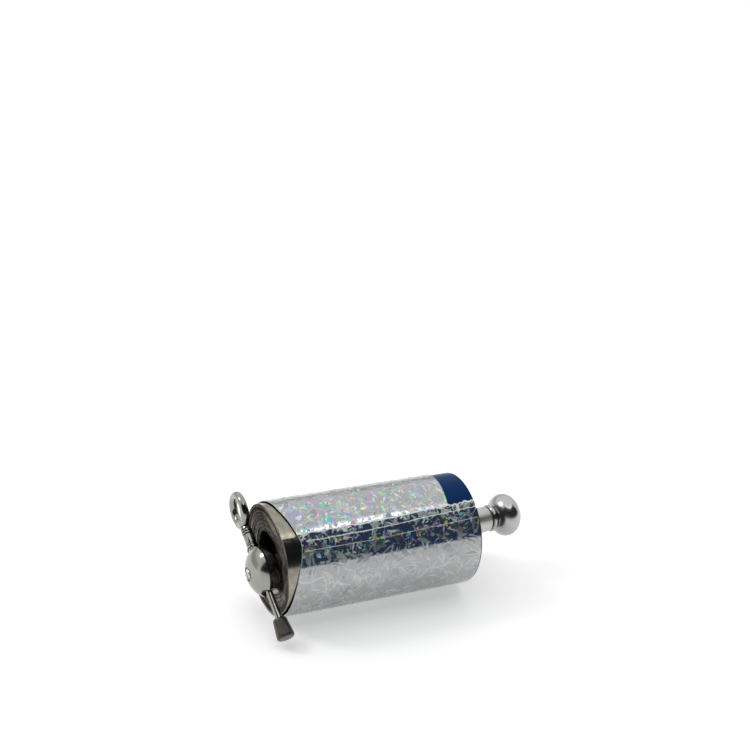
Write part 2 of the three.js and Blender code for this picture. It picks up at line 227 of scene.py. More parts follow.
class Nodes:
    """Short words for building a node tree."""

    def __init__(self, tree):
        self.tree = tree

    def add(self, kind, inputs=None, **settings):
        node = self.tree.nodes.new(kind)
        for key, value in settings.items():
            setattr(node, key, value)
        for key, value in (inputs or {}).items():
            self.put(node.inputs[key], value)
        return node

    def put(self, socket, value):
        if isinstance(value, bpy.types.NodeSocket):
            self.tree.links.new(value, socket)
        else:
            socket.default_value = value

    def math(self, operation, a, b=0.0, clamp=False):
        node = self.add("ShaderNodeMath", {0: a, 1: b}, operation=operation, use_clamp=clamp)
        return node.outputs[0]

    def vector(self, operation, a, b=(0, 0, 0)):
        return self.add("ShaderNodeVectorMath", {0: a, 1: b}, operation=operation).outputs[0]

    def mix(self, factor, a, b):
        node = self.add("ShaderNodeMix", {0: factor, 6: a, 7: b}, data_type="RGBA")
        return node.outputs[2]

    def mix_value(self, factor, a, b):
        return self.add("ShaderNodeMix", {0: factor, 2: a, 3: b}, data_type="FLOAT").outputs[0]

    def step(self, value, low, high):
        node = self.add(
            "ShaderNodeMapRange",
            {0: value, 1: low, 2: high, 3: 0.0, 4: 1.0},
            interpolation_type="SMOOTHSTEP",
        )
        return node.outputs[0]

    def noise(self, vector, scale, detail=2.0, roughness=0.5):
        return self.add(
            "ShaderNodeTexNoise",
            {"Vector": vector, "Scale": scale, "Detail": detail, "Roughness": roughness},
        )

    def scaled(self, vector, scale, turn=0.0):
        turned = self.add("ShaderNodeVectorRotate", {"Vector": vector, "Angle": turn}) if turn else None
        return self.vector("MULTIPLY", turned.outputs[0] if turned else vector, scale)


def new_material(name):
    material = bpy.data.materials.new(name)
    material.use_nodes = True
    nodes = Nodes(material.node_tree)
    shader = material.node_tree.nodes["Principled BSDF"]
    return material, nodes, shader


def bump(nodes, shader, height, strength, distance):
    node = nodes.add("ShaderNodeBump", {"Height": height, "Strength": strength, "Distance": distance})
    nodes.put(shader.inputs["Normal"], node.outputs[0])


def rgb(r, g, b):
    return (r, g, b, 1)


# ---- Materials -------------------------------------------------------------------------

def metal(name, colour, dark, roughness, streak=(40, 900, 900), grime=0.25):
    """Machined or polished metal: fine streaks, soft clouding and a little grime."""
    material, nodes, shader = new_material(name)
    place = nodes.add("ShaderNodeTexCoord").outputs["Object"]
    lines = nodes.noise(nodes.scaled(place, streak), 3.0, 4.0).outputs[0]
    cloud = nodes.noise(place, 120.0, 3.0).outputs[0]
    patch = nodes.step(cloud, 0.45, 0.75)
    base = nodes.mix(nodes.math("MULTIPLY", patch, grime), colour, dark)
    nodes.put(shader.inputs["Base Color"], base)
    shader.inputs["Metallic"].default_value = 1.0
    varied = nodes.math("ADD", nodes.math("MULTIPLY", lines, roughness * 0.5), roughness * 0.72)
    nodes.put(shader.inputs["Roughness"], nodes.math("ADD", varied, nodes.math("MULTIPLY", patch, 0.06)))
    bump(nodes, shader, lines, 0.05, 0.0002)
    return material


def spring_steel():
    """Bright tempered strip, faintly brown, with rolling streaks along its length."""
    material, nodes, shader = new_material("spring_steel")
    place = nodes.add("ShaderNodeUVMap").outputs[0]
    streaks = nodes.noise(nodes.scaled(place, (2, 60, 1)), 4.0, 5.0, 0.6).outputs[0]
    stains = nodes.noise(nodes.scaled(place, (6, 10, 1)), 3.0, 4.0, 0.65).outputs[0]
    warm = nodes.mix(nodes.step(stains, 0.35, 0.7), rgb(0.31, 0.30, 0.245), rgb(0.19, 0.175, 0.13))
    base = nodes.mix(nodes.math("MULTIPLY", streaks, 0.5), warm, rgb(0.38, 0.37, 0.315))
    nodes.put(shader.inputs["Base Color"], base)
    shader.inputs["Metallic"].default_value = 1.0
    nodes.put(shader.inputs["Roughness"], nodes.mix_value(streaks, 0.10, 0.26))
    bump(nodes, shader, streaks, 0.04, 0.0002)
    return material


def strip_edge(name, dark, light):
    """Slit edge of the strip: brown, duller, rubbed bright in places."""
    material, nodes, shader = new_material(name)
    place = nodes.add("ShaderNodeTexCoord").outputs["Object"]
    rub = nodes.noise(place, 300.0, 4.0, 0.7).outputs[0]
    colour = nodes.mix(nodes.step(rub, 0.4, 0.68), dark, light)
    nodes.put(shader.inputs["Base Color"], colour)
    shader.inputs["Metallic"].default_value = 0.9
    nodes.put(shader.inputs["Roughness"], nodes.mix_value(rub, 0.25, 0.5))
    return material


def blue_film():
    """Deep blue glossy film with faint scuffs."""
    material, nodes, shader = new_material("blue_film")
    place = nodes.add("ShaderNodeUVMap").outputs[0]
    mottle = nodes.noise(nodes.scaled(place, (10, 10, 1)), 3.0, 4.0).outputs[0]
    scuff = nodes.noise(nodes.scaled(place, (120, 14, 1)), 2.0, 5.0, 0.7).outputs[0]
    marks = nodes.step(scuff, 0.62, 0.72)
    base = nodes.mix(mottle, rgb(0.0002, 0.024, 0.105), rgb(0.0006, 0.034, 0.140))
    scuffed = nodes.mix(nodes.math("MULTIPLY", marks, 0.2), base, rgb(0.03, 0.10, 0.30))
    nodes.put(shader.inputs["Base Color"], scuffed)
    nodes.put(shader.inputs["Roughness"], nodes.mix_value(marks, 0.3, 0.5))
    shader.inputs["Specular IOR Level"].default_value = 0.05
    bump(nodes, shader, scuff, 0.05, 0.0001)
    return material


# Layers of flakes: cell size in mm, half length, half width, bend, share of cells, pattern offset.
PETALS = (
    (7.6, 0.56, 0.17, 0.5, 0.70, 3.1),
    (5.6, 0.62, 0.12, 0.9, 0.65, 17.7),
    (3.4, 0.68, 0.11, 1.1, 0.60, 44.2),
    (3.2, 0.27, 0.26, 0.0, 0.30, 31.3),
    (4.6, 0.75, 0.045, 1.5, 0.80, 63.9),
)

ALL_CELLS = 1.1              # above any cell's random number

# Layers of flecks: cell size in mm, half length, half width, share of cells lit, pattern offset.
FLECKS = (
    (2.5, 0.64, 0.14, 0.46, 51.0),
    (4.1, 0.60, 0.17, 0.50, 77.0),
    (1.7, 0.64, 0.17, 0.20, 90.3),
)


def petal_layer(nodes, place, size, half_length, half_width, bend, share, offset):
    """One leaf-shaped flake in each cell, lying at its own angle.

    Gives its mask, its outline, the distance along it, and the cell's three random numbers.
    """
    spot = nodes.vector("MULTIPLY", place, (1 / size, 1 / size, 0))
    spot = nodes.vector("ADD", spot, (offset, offset * 0.7, 0))
    cell = nodes.add("ShaderNodeTexVoronoi", {"Vector": spot, "Scale": 1.0, "Randomness": 1.0})
    dice = nodes.add("ShaderNodeSeparateColor", {0: cell.outputs["Color"]}).outputs
    away = nodes.vector("SUBTRACT", spot, cell.outputs["Position"])
    angle = nodes.math("MULTIPLY", dice[0], TAU)
    turned = nodes.add("ShaderNodeVectorRotate", {"Vector": away, "Angle": angle})
    along, across, _ = nodes.add("ShaderNodeSeparateXYZ", {0: turned.outputs[0]}).outputs
    square = nodes.math("MULTIPLY", along, along)
    bow = nodes.math("SUBTRACT", dice[1], 0.2)
    curved = nodes.math("MULTIPLY", nodes.math("MULTIPLY", square, bend), bow)
    reach = nodes.math("DIVIDE", square, half_length * half_length)
    width = nodes.math("MULTIPLY", nodes.math("ADD", dice[2], 0.5), half_width)
    room = nodes.math("MULTIPLY", nodes.math("SUBTRACT", 1.0, reach), width)
    inside = nodes.math("SUBTRACT", room, nodes.math("ABSOLUTE", nodes.math("ADD", across, curved)))
    chosen = nodes.math("LESS_THAN", dice[1], share)
    mask = nodes.math("MULTIPLY", nodes.step(inside, 0.0, 0.04), chosen)
    rim = nodes.math("SUBTRACT", 1.0, nodes.step(nodes.math("ABSOLUTE", inside), 0.01, 0.04))
    outline = nodes.math("MULTIPLY", rim, nodes.math("LESS_THAN", dice[1], share * 0.5))
    return mask, outline, along, dice


def holo_foil():
    """Silver holographic foil over blue film: petals, slivers and dots pressed at different angles."""
    material, nodes, shader = new_material("holo_foil")
    uv = nodes.add("ShaderNodeUVMap").outputs[0]
    place = nodes.vector("MULTIPLY", uv, (100, 100, 0))
    warp = nodes.noise(nodes.scaled(place, (0.25, 0.25, 1)), 1.0, 2.0).outputs[1]
    place = nodes.vector("ADD", place, nodes.vector("MULTIPLY", warp, (1.6, 1.6, 0)))
    painted_zones = nodes.add("ShaderNodeAttribute", attribute_name="painted_light_zones").outputs["Color"]
    glint_zone, film_and_reflection, _ = nodes.add("ShaderNodeSeparateColor", {0: painted_zones}).outputs
    # Pastel lavender veil in the glint band: painted glint colour.
    clouds = nodes.noise(nodes.scaled(place, (0.10, 0.22, 0), deg(20)), 1.0, 3.0, 0.7).outputs[0]
    glint_veil = nodes.math("MULTIPLY", nodes.math("MULTIPLY", nodes.step(clouds, 0.42, 0.66), glint_zone), 0.75)
    silver = nodes.mix(glint_veil, rgb(0.38, 0.385, 0.39), rgb(0.33, 0.36, 0.56))
    # Beside the seam the foil turns dark blue and less metallic, and its petals show more strongly: partly
    # the blue film showing through, partly a painted dark reflection.
    colour = nodes.mix(film_and_reflection, silver, rgb(0.015, 0.10, 0.30))
    metallic = nodes.mix_value(film_and_reflection, 0.94, 0.66)
    strength = nodes.mix_value(film_and_reflection, 0.6, 0.95)
    rough = 0.09
    height = 0.0
    outline = 0.0
    # Petal tints are more saturated in the glint band: painted glint colour.
    pastel = nodes.math("ADD", nodes.math("MULTIPLY", glint_zone, 0.30), 0.08)
    for size, length, width, bend, share, offset in PETALS:
        mask, rim, along, dice = petal_layer(nodes, place, size, length, width, bend, share, offset)
        tint = nodes.add("ShaderNodeCombineColor", {0: dice[2], 1: pastel, 2: 0.47}, mode="HSV").outputs[0]
        dull = nodes.mix(dice[0], rgb(0.20, 0.25, 0.25), rgb(0.56, 0.60, 0.59))
        shade = nodes.mix(nodes.math("GREATER_THAN", dice[2], 0.45), tint, dull)
        colour = nodes.mix(nodes.math("MULTIPLY", mask, strength), colour, shade)
        metallic = nodes.mix_value(mask, metallic, 0.94)
        spread = nodes.math("MULTIPLY", nodes.math("MULTIPLY", dice[2], 0.42), strength)
        rough = nodes.mix_value(mask, rough, nodes.math("ADD", spread, 0.15))
        slope = nodes.math("MULTIPLY", along, nodes.math("SUBTRACT", dice[0], 0.5))
        tilt = nodes.math("MULTIPLY", nodes.math("MULTIPLY", slope, mask), size)
        height = nodes.math("ADD", height, tilt)
        outline = nodes.math("MAXIMUM", outline, rim)
    colour = nodes.mix(nodes.math("MULTIPLY", outline, 0.5), colour, rgb(0.62, 0.64, 0.65))
    # hair-fine strokes
    fine = 0.0
    for turn in (35, -38, 80):
        lines = nodes.noise(nodes.scaled(place, (0.35, 3.2, 0), deg(turn)), 1.0, 3.0, 0.6).outputs[0]
        fine = nodes.math("MAXIMUM", fine, nodes.step(lines, 0.60, 0.68))
    colour = nodes.mix(nodes.math("MULTIPLY", fine, 0.35), colour, rgb(0.60, 0.62, 0.63))
    # saturated flecks where the grating throws its spectrum: painted rainbow glints in a fixed band
    patchy = nodes.noise(nodes.scaled(place, (0.16, 0.10, 0)), 1.0, 3.0).outputs[0]
    glint_amount = nodes.math("MULTIPLY", glint_zone, nodes.step(patchy, 0.34, 0.58))
    for size, length, width, share, offset in FLECKS:
        mask, _, along, dice = petal_layer(
            nodes, place, size, length, width, bend=0.4, share=ALL_CELLS, offset=offset,
        )
        lit = nodes.math("LESS_THAN", dice[1], nodes.math("MULTIPLY", glint_amount, share))
        fleck = nodes.math("MULTIPLY", mask, lit)
        spread = nodes.math("ADD", dice[2], nodes.math("MULTIPLY", along, 0.8))
        hue = nodes.math("MULTIPLY", nodes.math("POWER", nodes.math("FRACT", spread), 1.35), 0.86)
        purity = nodes.math("ADD", dice[0], 0.1, clamp=True)
        vivid = nodes.add("ShaderNodeCombineColor", {0: hue, 1: purity, 2: 0.9}, mode="HSV")
        colour = nodes.mix(nodes.math("MULTIPLY", fleck, 0.9), colour, vivid.outputs[0])
        rough = nodes.mix_value(fleck, rough, 0.5)
    nodes.put(shader.inputs["Base Color"], colour)
    nodes.put(shader.inputs["Roughness"], rough)
    nodes.put(shader.inputs["Metallic"], metallic)
    dents = nodes.noise(nodes.scaled(place, (0.3, 0.3, 0)), 1.0, 3.0).outputs[0]
    height = nodes.math("ADD", nodes.math("MULTIPLY", height, 0.26), nodes.math("MULTIPLY", dents, 0.25))
    bump(nodes, shader, height, 0.35, 0.0005)
    return material


def torn_edge_and_highlight():
    """Bright torn edge of the foil tape: its white backing, with a painted highlight along the seam lines
    and the foil's border.
    """
    material, nodes, shader = new_material("torn_edge_and_highlight")
    place = nodes.add("ShaderNodeTexCoord").outputs["Object"]
    fibre = nodes.noise(place, 900.0, 3.0).outputs[0]
    nodes.put(shader.inputs["Base Color"], nodes.mix(fibre, rgb(0.78, 0.79, 0.82), rgb(0.98, 0.98, 1.0)))
    shader.inputs["Metallic"].default_value = 0.2
    shader.inputs["Roughness"].default_value = 0.35
    return material


def rubber():
    """Dark glossy rubber, brown where light gets in."""
    material, nodes, shader = new_material("rubber")
    place = nodes.add("ShaderNodeTexCoord").outputs["Object"]
    cloud = nodes.noise(place, 260.0, 3.0).outputs[0]
    dust = nodes.noise(place, 1500.0, 2.0).outputs[0]
    colour = nodes.mix(nodes.step(cloud, 0.4, 0.7), rgb(0.006, 0.007, 0.004), rgb(0.040, 0.026, 0.008))
    nodes.put(shader.inputs["Base Color"], colour)
    nodes.put(shader.inputs["Roughness"], nodes.mix_value(dust, 0.18, 0.32))
    shader.inputs["Coat Weight"].default_value = 0.2
    bump(nodes, shader, dust, 0.08, 0.0001)
    return material


MATERIALS = {
    "steel": spring_steel(),
    # The strip's edge in three copies of one material: lit for the outer turns, half shaded further in,
    # and near black where painted shade lies deep in the roll's end. The near-black copy also paints shade
    # in the ferrule's grooves.
    "edge": strip_edge("strip_edge", rgb(0.30, 0.24, 0.17), rgb(0.66, 0.58, 0.48)),
    "half_shaded_edge": strip_edge("half_shaded_strip_edge", rgb(0.10, 0.09, 0.075), rgb(0.55, 0.50, 0.44)),
    "painted_shade_edge": strip_edge("painted_shade_strip_edge", rgb(0.008, 0.007, 0.006), rgb(0.09, 0.08, 0.07)),
    "film": blue_film(),
    "foil": holo_foil(),
    # Near-white torn backing of the tape, also a painted highlight along its edges.
    "torn": torn_edge_and_highlight(),
    "rubber": rubber(),
    "polished": metal("polished_metal", rgb(0.325, 0.325, 0.30), rgb(0.19, 0.185, 0.155), 0.13),
    "knob": metal("knob_metal", rgb(0.47, 0.475, 0.47), rgb(0.29, 0.29, 0.27), 0.22),
    "satin": metal("satin_metal", rgb(0.60, 0.60, 0.58), rgb(0.38, 0.38, 0.35), 0.44),
    "cast": metal("cast_alloy", rgb(0.30, 0.30, 0.31), rgb(0.16, 0.16, 0.16), 0.5, (300, 300, 300)),
}


# ---- Mesh helpers ----------------------------------------------------------------------

def make_piece(name, bm, body, materials, nodes=(), sharp=32):
    """Turns a bmesh in metres into a named piece that rides on a body and stands for CAD nodes."""
    limit = deg(sharp)
    bm.normal_update()
    for edge in bm.edges:
        edge.smooth = len(edge.link_faces) == 2 and edge.calc_face_angle(0) < limit
    for face in bm.faces:
        face.smooth = True
    mesh = bpy.data.meshes.new(name)
    bm.to_mesh(mesh)
    bm.free()
    piece = bpy.data.objects.new(name, mesh)
    bpy.context.scene.collection.objects.link(piece)
    for key in materials:
        mesh.materials.append(MATERIALS[key])
    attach(piece, body)
    if nodes:
        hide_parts(*nodes)
    return piece


def fillet(points, radius, steps=4):
    """Rounds the inner corners of a profile of (x, r) points."""
    rounded = [points[0]]
    for before, corner, after in zip(points, points[1:], points[2:]):
        c = Vector(corner)
        a = Vector(before) - c
        b = Vector(after) - c
        reach = min(radius, a.length * 0.45, b.length * 0.45)
        if c.y < 1e-6 or reach < 1e-4:
            rounded.append(corner)
            continue
        p0 = c + a.normalized() * reach
        p1 = c + b.normalized() * reach
        for i in range(steps + 1):
            t = i / steps
            q = p0.lerp(c, t).lerp(c.lerp(p1, t), t)
            rounded.append((q.x, q.y))
    rounded.append(points[-1])
    return rounded


def arc(centre_x, radius_x, radius_r, start, end, steps):
    points = []
    for i in range(steps + 1):
        angle = start + (end - start) * i / steps
        points.append((centre_x + radius_x * math.cos(angle), max(0.0, radius_r * math.sin(angle))))
    return points


def lathe(profile, frame_matrix, segments=96, closed=False):
    """Surface of revolution about the matrix's own X axis, from a profile of (x, r) points."""
    bm = bmesh.new()
    rings = []
    for x, r in profile:
        if r < 1e-6:
            rings.append([bm.verts.new(frame_matrix @ Vector((x, 0, 0)) * MM)])
            continue
        ring = []
        for i in range(segments):
            angle = TAU * i / segments
            spot = Vector((x, r * math.cos(angle), r * math.sin(angle)))
            ring.append(bm.verts.new(frame_matrix @ spot * MM))
        rings.append(ring)
    pairs = list(zip(rings, rings[1:]))
    if closed:
        pairs.append((rings[-1], rings[0]))
    for low, high in pairs:
        for i in range(segments):
            j = (i + 1) % segments
            corners = [low[i % len(low)], low[j % len(low)], high[j % len(high)], high[i % len(high)]]
            unique = list(dict.fromkeys(corners))
            if len(unique) > 2:
                bm.faces.new(unique)
    bmesh.ops.recalc_face_normals(bm, faces=bm.faces)
    return bm


def pin_matrix():
    """Frame of the pin: its X runs along the pin, towards the rubber tip."""
    turn = Matrix((CORE_Y, CORE_Z, CORE_X)).transposed().to_4x4()
    turn.translation = CORE @ Vector((PIN_X, 0, 0))
    return turn


PIN = pin_matrix()


def cylinder(matrix, start, end, r, segments=64):
    return lathe([(start, 0), (start, r), (end, r), (end, 0)], matrix, segments)


def box(x, size):
    """Box centred on the core's axis at x."""
    made = bmesh.new()
    bmesh.ops.create_cube(made, size=1)
    place = Matrix.Scale(MM, 4) @ CORE @ Matrix.Translation((x, 0, 0))
    made.transform(place @ Matrix.Diagonal((*size, 1)))
    return made


def combine(base, tools, operation="DIFFERENCE"):
    """Cuts the tools from the base, or joins them, with Blender's exact boolean."""
    objects = []
    for bm in [base, *tools]:
        mesh = bpy.data.meshes.new("work")
        bm.to_mesh(mesh)
        bm.free()
        made = bpy.data.objects.new("work", mesh)
        bpy.context.scene.collection.objects.link(made)
        objects.append(made)
    for tool in objects[1:]:
        modifier = objects[0].modifiers.new("cut", "BOOLEAN")
        modifier.operation = operation
        modifier.solver = "EXACT"
        modifier.object = tool
    result = bmesh.new()
    bpy.context.view_layer.update()
    result.from_object(objects[0], bpy.context.evaluated_depsgraph_get())
    for made in objects:
        bpy.data.objects.remove(made)
    return result


# ---- The strip: rolled shape, sprung shape, and the modifier that goes between them ------

def spring_open_group():
    """Moves each point from its rolled place to its sprung place as the tip slides out."""
    group = bpy.data.node_groups.new("spring_open", "GeometryNodeTree")
    group.interface.new_socket("Geometry", in_out="INPUT", socket_type="NodeSocketGeometry")
    group.interface.new_socket("Geometry", in_out="OUTPUT", socket_type="NodeSocketGeometry")
    nodes = Nodes(group)
    start = nodes.add("NodeGroupInput")
    end = nodes.add("NodeGroupOutput")
    tip_body = {"Object": frame["bodies"]["tip"]}
    tip = nodes.add("GeometryNodeObjectInfo", tip_body, transform_space="ORIGINAL")
    slid = nodes.add("ShaderNodeSeparateXYZ", {0: tip.outputs["Location"]}).outputs[0]
    share = nodes.math("DIVIDE", slid, TRAVEL * MM, clamp=True)
    ends = []
    for name in ("rolled", "sprung"):
        stored = nodes.add("GeometryNodeInputNamedAttribute", {"Name": name}, data_type="FLOAT_VECTOR")
        ends.append(stored.outputs[0])
    mixed = nodes.add("ShaderNodeMix", {0: share, 4: ends[0], 5: ends[1]}, data_type="VECTOR").outputs[1]
    place = nodes.add("ShaderNodeSeparateXYZ", {0: mixed})
    x, angle, r = place.outputs
    y = nodes.math("MULTIPLY", nodes.math("MULTIPLY", r, -1.0), nodes.math("SINE", angle))
    z = nodes.math("MULTIPLY", r, nodes.math("COSINE", angle))
    spot = nodes.add("ShaderNodeCombineXYZ", {0: x, 1: y, 2: z}).outputs[0]
    axis = (ROLL_LEFT * MM, ROLL_AXIS.y * MM, ROLL_AXIS.z * MM)
    moved = nodes.add(
        "GeometryNodeSetPosition",
        {"Geometry": start.outputs[0], "Position": nodes.vector("ADD", spot, axis)},
    )
    group.links.new(moved.outputs[0], end.inputs[0])
    return group


SPRING_OPEN = spring_open_group()


def wound_sheet(
    name, body, materials, node, rounds, columns, rolled, sprung, material_of, painted_light_zones=None,
):
    """A sheet wound round the roll, in two skins joined at its borders.

    rolled and sprung give (x, angle, radius) for a place: v along the winding, u across it, and
    skin 0 outside or 1 inside. material_of gives a material's index from u, the skin (2 at the
    borders) and v.
    """
    bm = bmesh.new()
    shapes = [bm.verts.layers.float_vector.new("rolled"), bm.verts.layers.float_vector.new("sprung")]
    painted_light_layer = bm.verts.layers.float_vector.new("painted_light_zones")
    uv = bm.loops.layers.uv.new("UVMap")
    grid = {}
    flat = {}
    for skin in (0, 1):
        for i in range(rounds + 1):
            for j, u in enumerate(columns):
                v = i / rounds
                x, angle, r = rolled(v, u, skin)
                vert = bm.verts.new(roll_point(x, angle, r) * MM)
                vert[shapes[0]] = (x * MM, angle, r * MM)
                x1, angle1, r1 = sprung(v, u, skin)
                vert[shapes[1]] = (x1 * MM, angle1, r1 * MM)
                if painted_light_zones:
                    vert[painted_light_layer] = painted_light_zones(x, angle)
                grid[skin, i, j] = vert
                flat[vert] = (angle * r / 100, x / 100)

    def face(corners, material):
        made = bm.faces.new(corners)
        made.material_index = material
        for loop in made.loops:
            loop[uv].uv = flat[loop.vert]

    last = len(columns) - 1
    for i in range(rounds):
        v = (i + 0.5) / rounds
        for j in range(last):
            middle = (columns[j] + columns[j + 1]) / 2
            outer = [grid[0, i, j], grid[0, i, j + 1], grid[0, i + 1, j + 1], grid[0, i + 1, j]]
            face(outer, material_of(middle, 0, v))
            inner = [grid[1, i + 1, j], grid[1, i + 1, j + 1], grid[1, i, j + 1], grid[1, i, j]]
            face(inner, material_of(middle, 1, v))
        left = [grid[0, i + 1, 0], grid[1, i + 1, 0], grid[1, i, 0], grid[0, i, 0]]
        face(left, material_of(0, 2, v))
        right = [grid[0, i, last], grid[1, i, last], grid[1, i + 1, last], grid[0, i + 1, last]]
        face(right, material_of(1, 2, v))
    for j in range(last):
        face([grid[0, 0, j], grid[1, 0, j], grid[1, 0, j + 1], grid[0, 0, j + 1]], material_of(0.5, 2, 0))
        face(
            [grid[0, rounds, j + 1], grid[1, rounds, j + 1], grid[1, rounds, j], grid[0, rounds, j]],
            material_of(0.5, 2, 1),
        )
    bmesh.ops.recalc_face_normals(bm, faces=bm.faces)
    piece = make_piece(name, bm, body, materials, [node] if node else [])
    piece.modifiers.new("spring_open", "NODES").node_group = SPRING_OPEN
    return piece


def travel_share(number):
    return (number - 1) / (TURNS - 1)


def sprung_place(x, wound, travelled):
    """Place on the sprung tube of a point x across the strip, wound this many radians from the seam."""
    turned = wound * SPRUNG_TURNS / TURNS
    advance = SPRUNG_STEP * min(SPRUNG_TURNS - 2, max(0, turned / TAU - 1))
    r = SPRUNG_R + (SPRUNG_END_R - SPRUNG_R) * turned / (TAU * SPRUNG_TURNS)
    return x + advance - travelled, SEAM + turned, r


def flare(wound, x, angle):
    """The outer turns open a little at the lock end, most of all near the top."""
    strength = FLARE * max(0, 1 - wound / TAU / FLARE_TURNS)
    lower = smooth(deg(60), deg(120), angle % TAU) - smooth(deg(230), deg(290), angle % TAU)
    return strength * (1 - 0.6 * lower) * (1 - smooth(*FLARE_FADES, x))


# How far the strip's edge strays along the roll: degrees from the top, mm.
RIM_WANDER = (
    (-90, -0.5), (0, -1.9), (45, -1.4), (80, -1.1), (112, -0.15), (135, 0), (200, 0), (270, -0.5),
    (360, -1.9), (405, -1.4),
)


def rim_wander(angle):
    return curve_through(RIM_WANDER, math.degrees(angle % TAU))


def edge_in_painted_shade(wound):
    """Whether the strip's edge gets painted shade here, where it lies deep in the end of the roll; the
    first turns stand out.
    """
    stands_out = 0.8 * max(0, 1 - wound / TAU / 2.2)
    return noise.noise(Vector((wound * 0.17, 7.3, 0))) > 0.02 + stands_out


def strip_turn(number):
    node = f"strip_turn_{number:02d}"
    body = "roll" if number == 1 else "tip" if number == TURNS else f"turn_{number:02d}"
    start = TAU * (number - 1)
    wander = random.Random(number)
    sway = wander.uniform(*EDGE_SWAY) if number > 1 else OUTER_EDGE_SWAY
    phase = wander.uniform(0, TAU)
    columns = [0, RIM_SHARE, 0.06, 1]
    if number <= FLARE_TURNS:
        columns = [0, RIM_SHARE, 0.06, 0.085, 0.11, 0.14, 0.17, 0.5, 1]
    margin = STEEL_MARGIN if number == 1 else INNER_STEEL_MARGIN
    # Deeper turns get the half-shaded edge colour: painted shade.
    edge = "edge" if number <= LIT_EDGE_TURNS else "half_shaded_edge"

    def wound_at(v):
        return start + TURN_END_GAP + (TAU - 2 * TURN_END_GAP) * v

    def rolled(v, u, skin):
        wound = wound_at(v)
        angle = SEAM + wound
        wobble = sway * math.sin(2 * angle + phase) * math.sin(math.pi * v)
        wobble += rim_wander(angle) * (1 - u)
        r = TURN_OUTER_R - TURN_PITCH * wound / TAU - TURN_WALL * skin
        shift = TURN_STEP_X * wound / TAU
        return shift + wobble + u * STRIP_WIDTH, angle, r + flare(wound, u * STRIP_WIDTH, angle)

    def sprung(v, u, skin):
        x, angle, r = sprung_place(u * STRIP_WIDTH, wound_at(v), TRAVEL * travel_share(number))
        return x, angle, r - SPRUNG_WALL * skin

    def material_of(u, skin, v):
        # Edge faces deep in the roll's end get painted shade.
        if skin == 2:
            return 3 if edge_in_painted_shade(wound_at(v)) else 2
        # Inside the rim, inner turns and the first turn's inner skin get painted shade.
        if u < RIM_SHARE and (number > 1 or skin == 1):
            return 3
        return 1 if skin == 0 and u > margin else 0

    wound_sheet(
        f"strip_{number:02d}", body, ["steel", "film", edge, "painted_shade_edge"], node,
        STEPS_ROUND, columns, rolled, sprung, material_of,
    )


# ---- Foil and film ---------------------------------------------------------------------

def seam_angle(x, jag=1.0):
    """The foil's free edge: nearly along X, slightly slanted, torn most of all near the knob.

    jag scales the tear.
    """
    ragged = 0.014 + 0.03 * smooth(62, 78, x)
    torn = noise.noise(Vector((x * 0.8, 0.3, 0))) * ragged + noise.noise(Vector((x * 0.16, 4, 0))) * 0.02
    return SEAM_TURN + deg(1.2) - deg(4.5) * smooth(30, 90, x) + torn * jag


# Left edge of the foil: degrees from the top, mm from the rim.
FOIL_LEFT_EDGE = (
    (-110, 0.5), (0, 1.9), (12, 2.7), (22, 3.7), (36, 5.1), (47, 6.0), (59, 5.3), (78, 3.2), (103, 1.5),
    (150, 0.7), (250, 0.6), (360, 1.9), (372, 2.7),
)


def foil_left(angle):
    """Left edge of the foil, from the rim: widest below the seam, nearly nothing underneath."""
    return curve_through(FOIL_LEFT_EDGE, math.degrees(angle % TAU))


def foil_right(wound):
    """Right edge: at the rim at first, then running back so that blue film shows."""
    share = max(0, wound - FOIL_LEAVES_RIM) / (TAU - FOIL_LEAVES_RIM)
    return FOIL_RIGHT - FOIL_RUNS_BACK * share


def painted_light_at(x, angle):
    """How strongly painted rainbow glints show here, how much of the blue film shines through in the dark
    band beside the seam, which is partly a painted dark reflection, and a spare.
    """
    place = math.degrees(angle % TAU)
    place = place if place < 300 else place - 360
    # Painted rainbow glints: a band from behind the top down to below the seam, where light catches the
    # grating.
    hue = smooth(-25, 20, place) * (1 - smooth(56, 68, place))
    # The dark band beside the seam: partly the blue film showing through, partly a painted dark
    # reflection.
    beside_seam = smooth(SEAM_TURN - 0.02, SEAM_TURN + 0.02, angle) * (1 - smooth(deg(68), deg(71), angle))
    return hue, 0.8 * beside_seam, 0


def holo_foil_sheet():
    columns = [j / FOIL_COLUMNS for j in range(FOIL_COLUMNS + 1)]

    def rolled(v, u, skin):
        along = u * STRIP_WIDTH
        wound = v * (TAU + FOIL_OVERLAP)
        angle = seam_angle(along) + wound
        left = foil_left(angle) + 0.08 * noise.noise(Vector((0, 0, wound * 3)))
        right = foil_right(wound)
        x = left + (right - left) * u
        wall = FOIL_WALL + FOIL_LIP * (1 - smooth(0.0, 0.04, u))
        # it sinks towards its end, which lies under its start at the seam
        sunk = 0.12 * smooth(0.3, 0.6, v) + 0.11 * smooth(0.93, 0.985, v)
        return x, angle, FOIL_R - sunk - wall * skin

    def sprung(v, u, skin):
        x, angle, r = rolled(v, u, 0)
        return x, SEAM + TAU * v * 0.995, SPRUNG_R + SPRUNG_FOIL_LIFT - 0.1 * v - 0.04 * skin

    wound_sheet(
        "foil_wrap", "roll", ["foil", "torn"], "holo_foil_wrap",
        FOIL_STEPS_ROUND, columns, rolled, sprung, lambda u, skin, v: 1 if skin == 2 else 0,
        painted_light_at,
    )


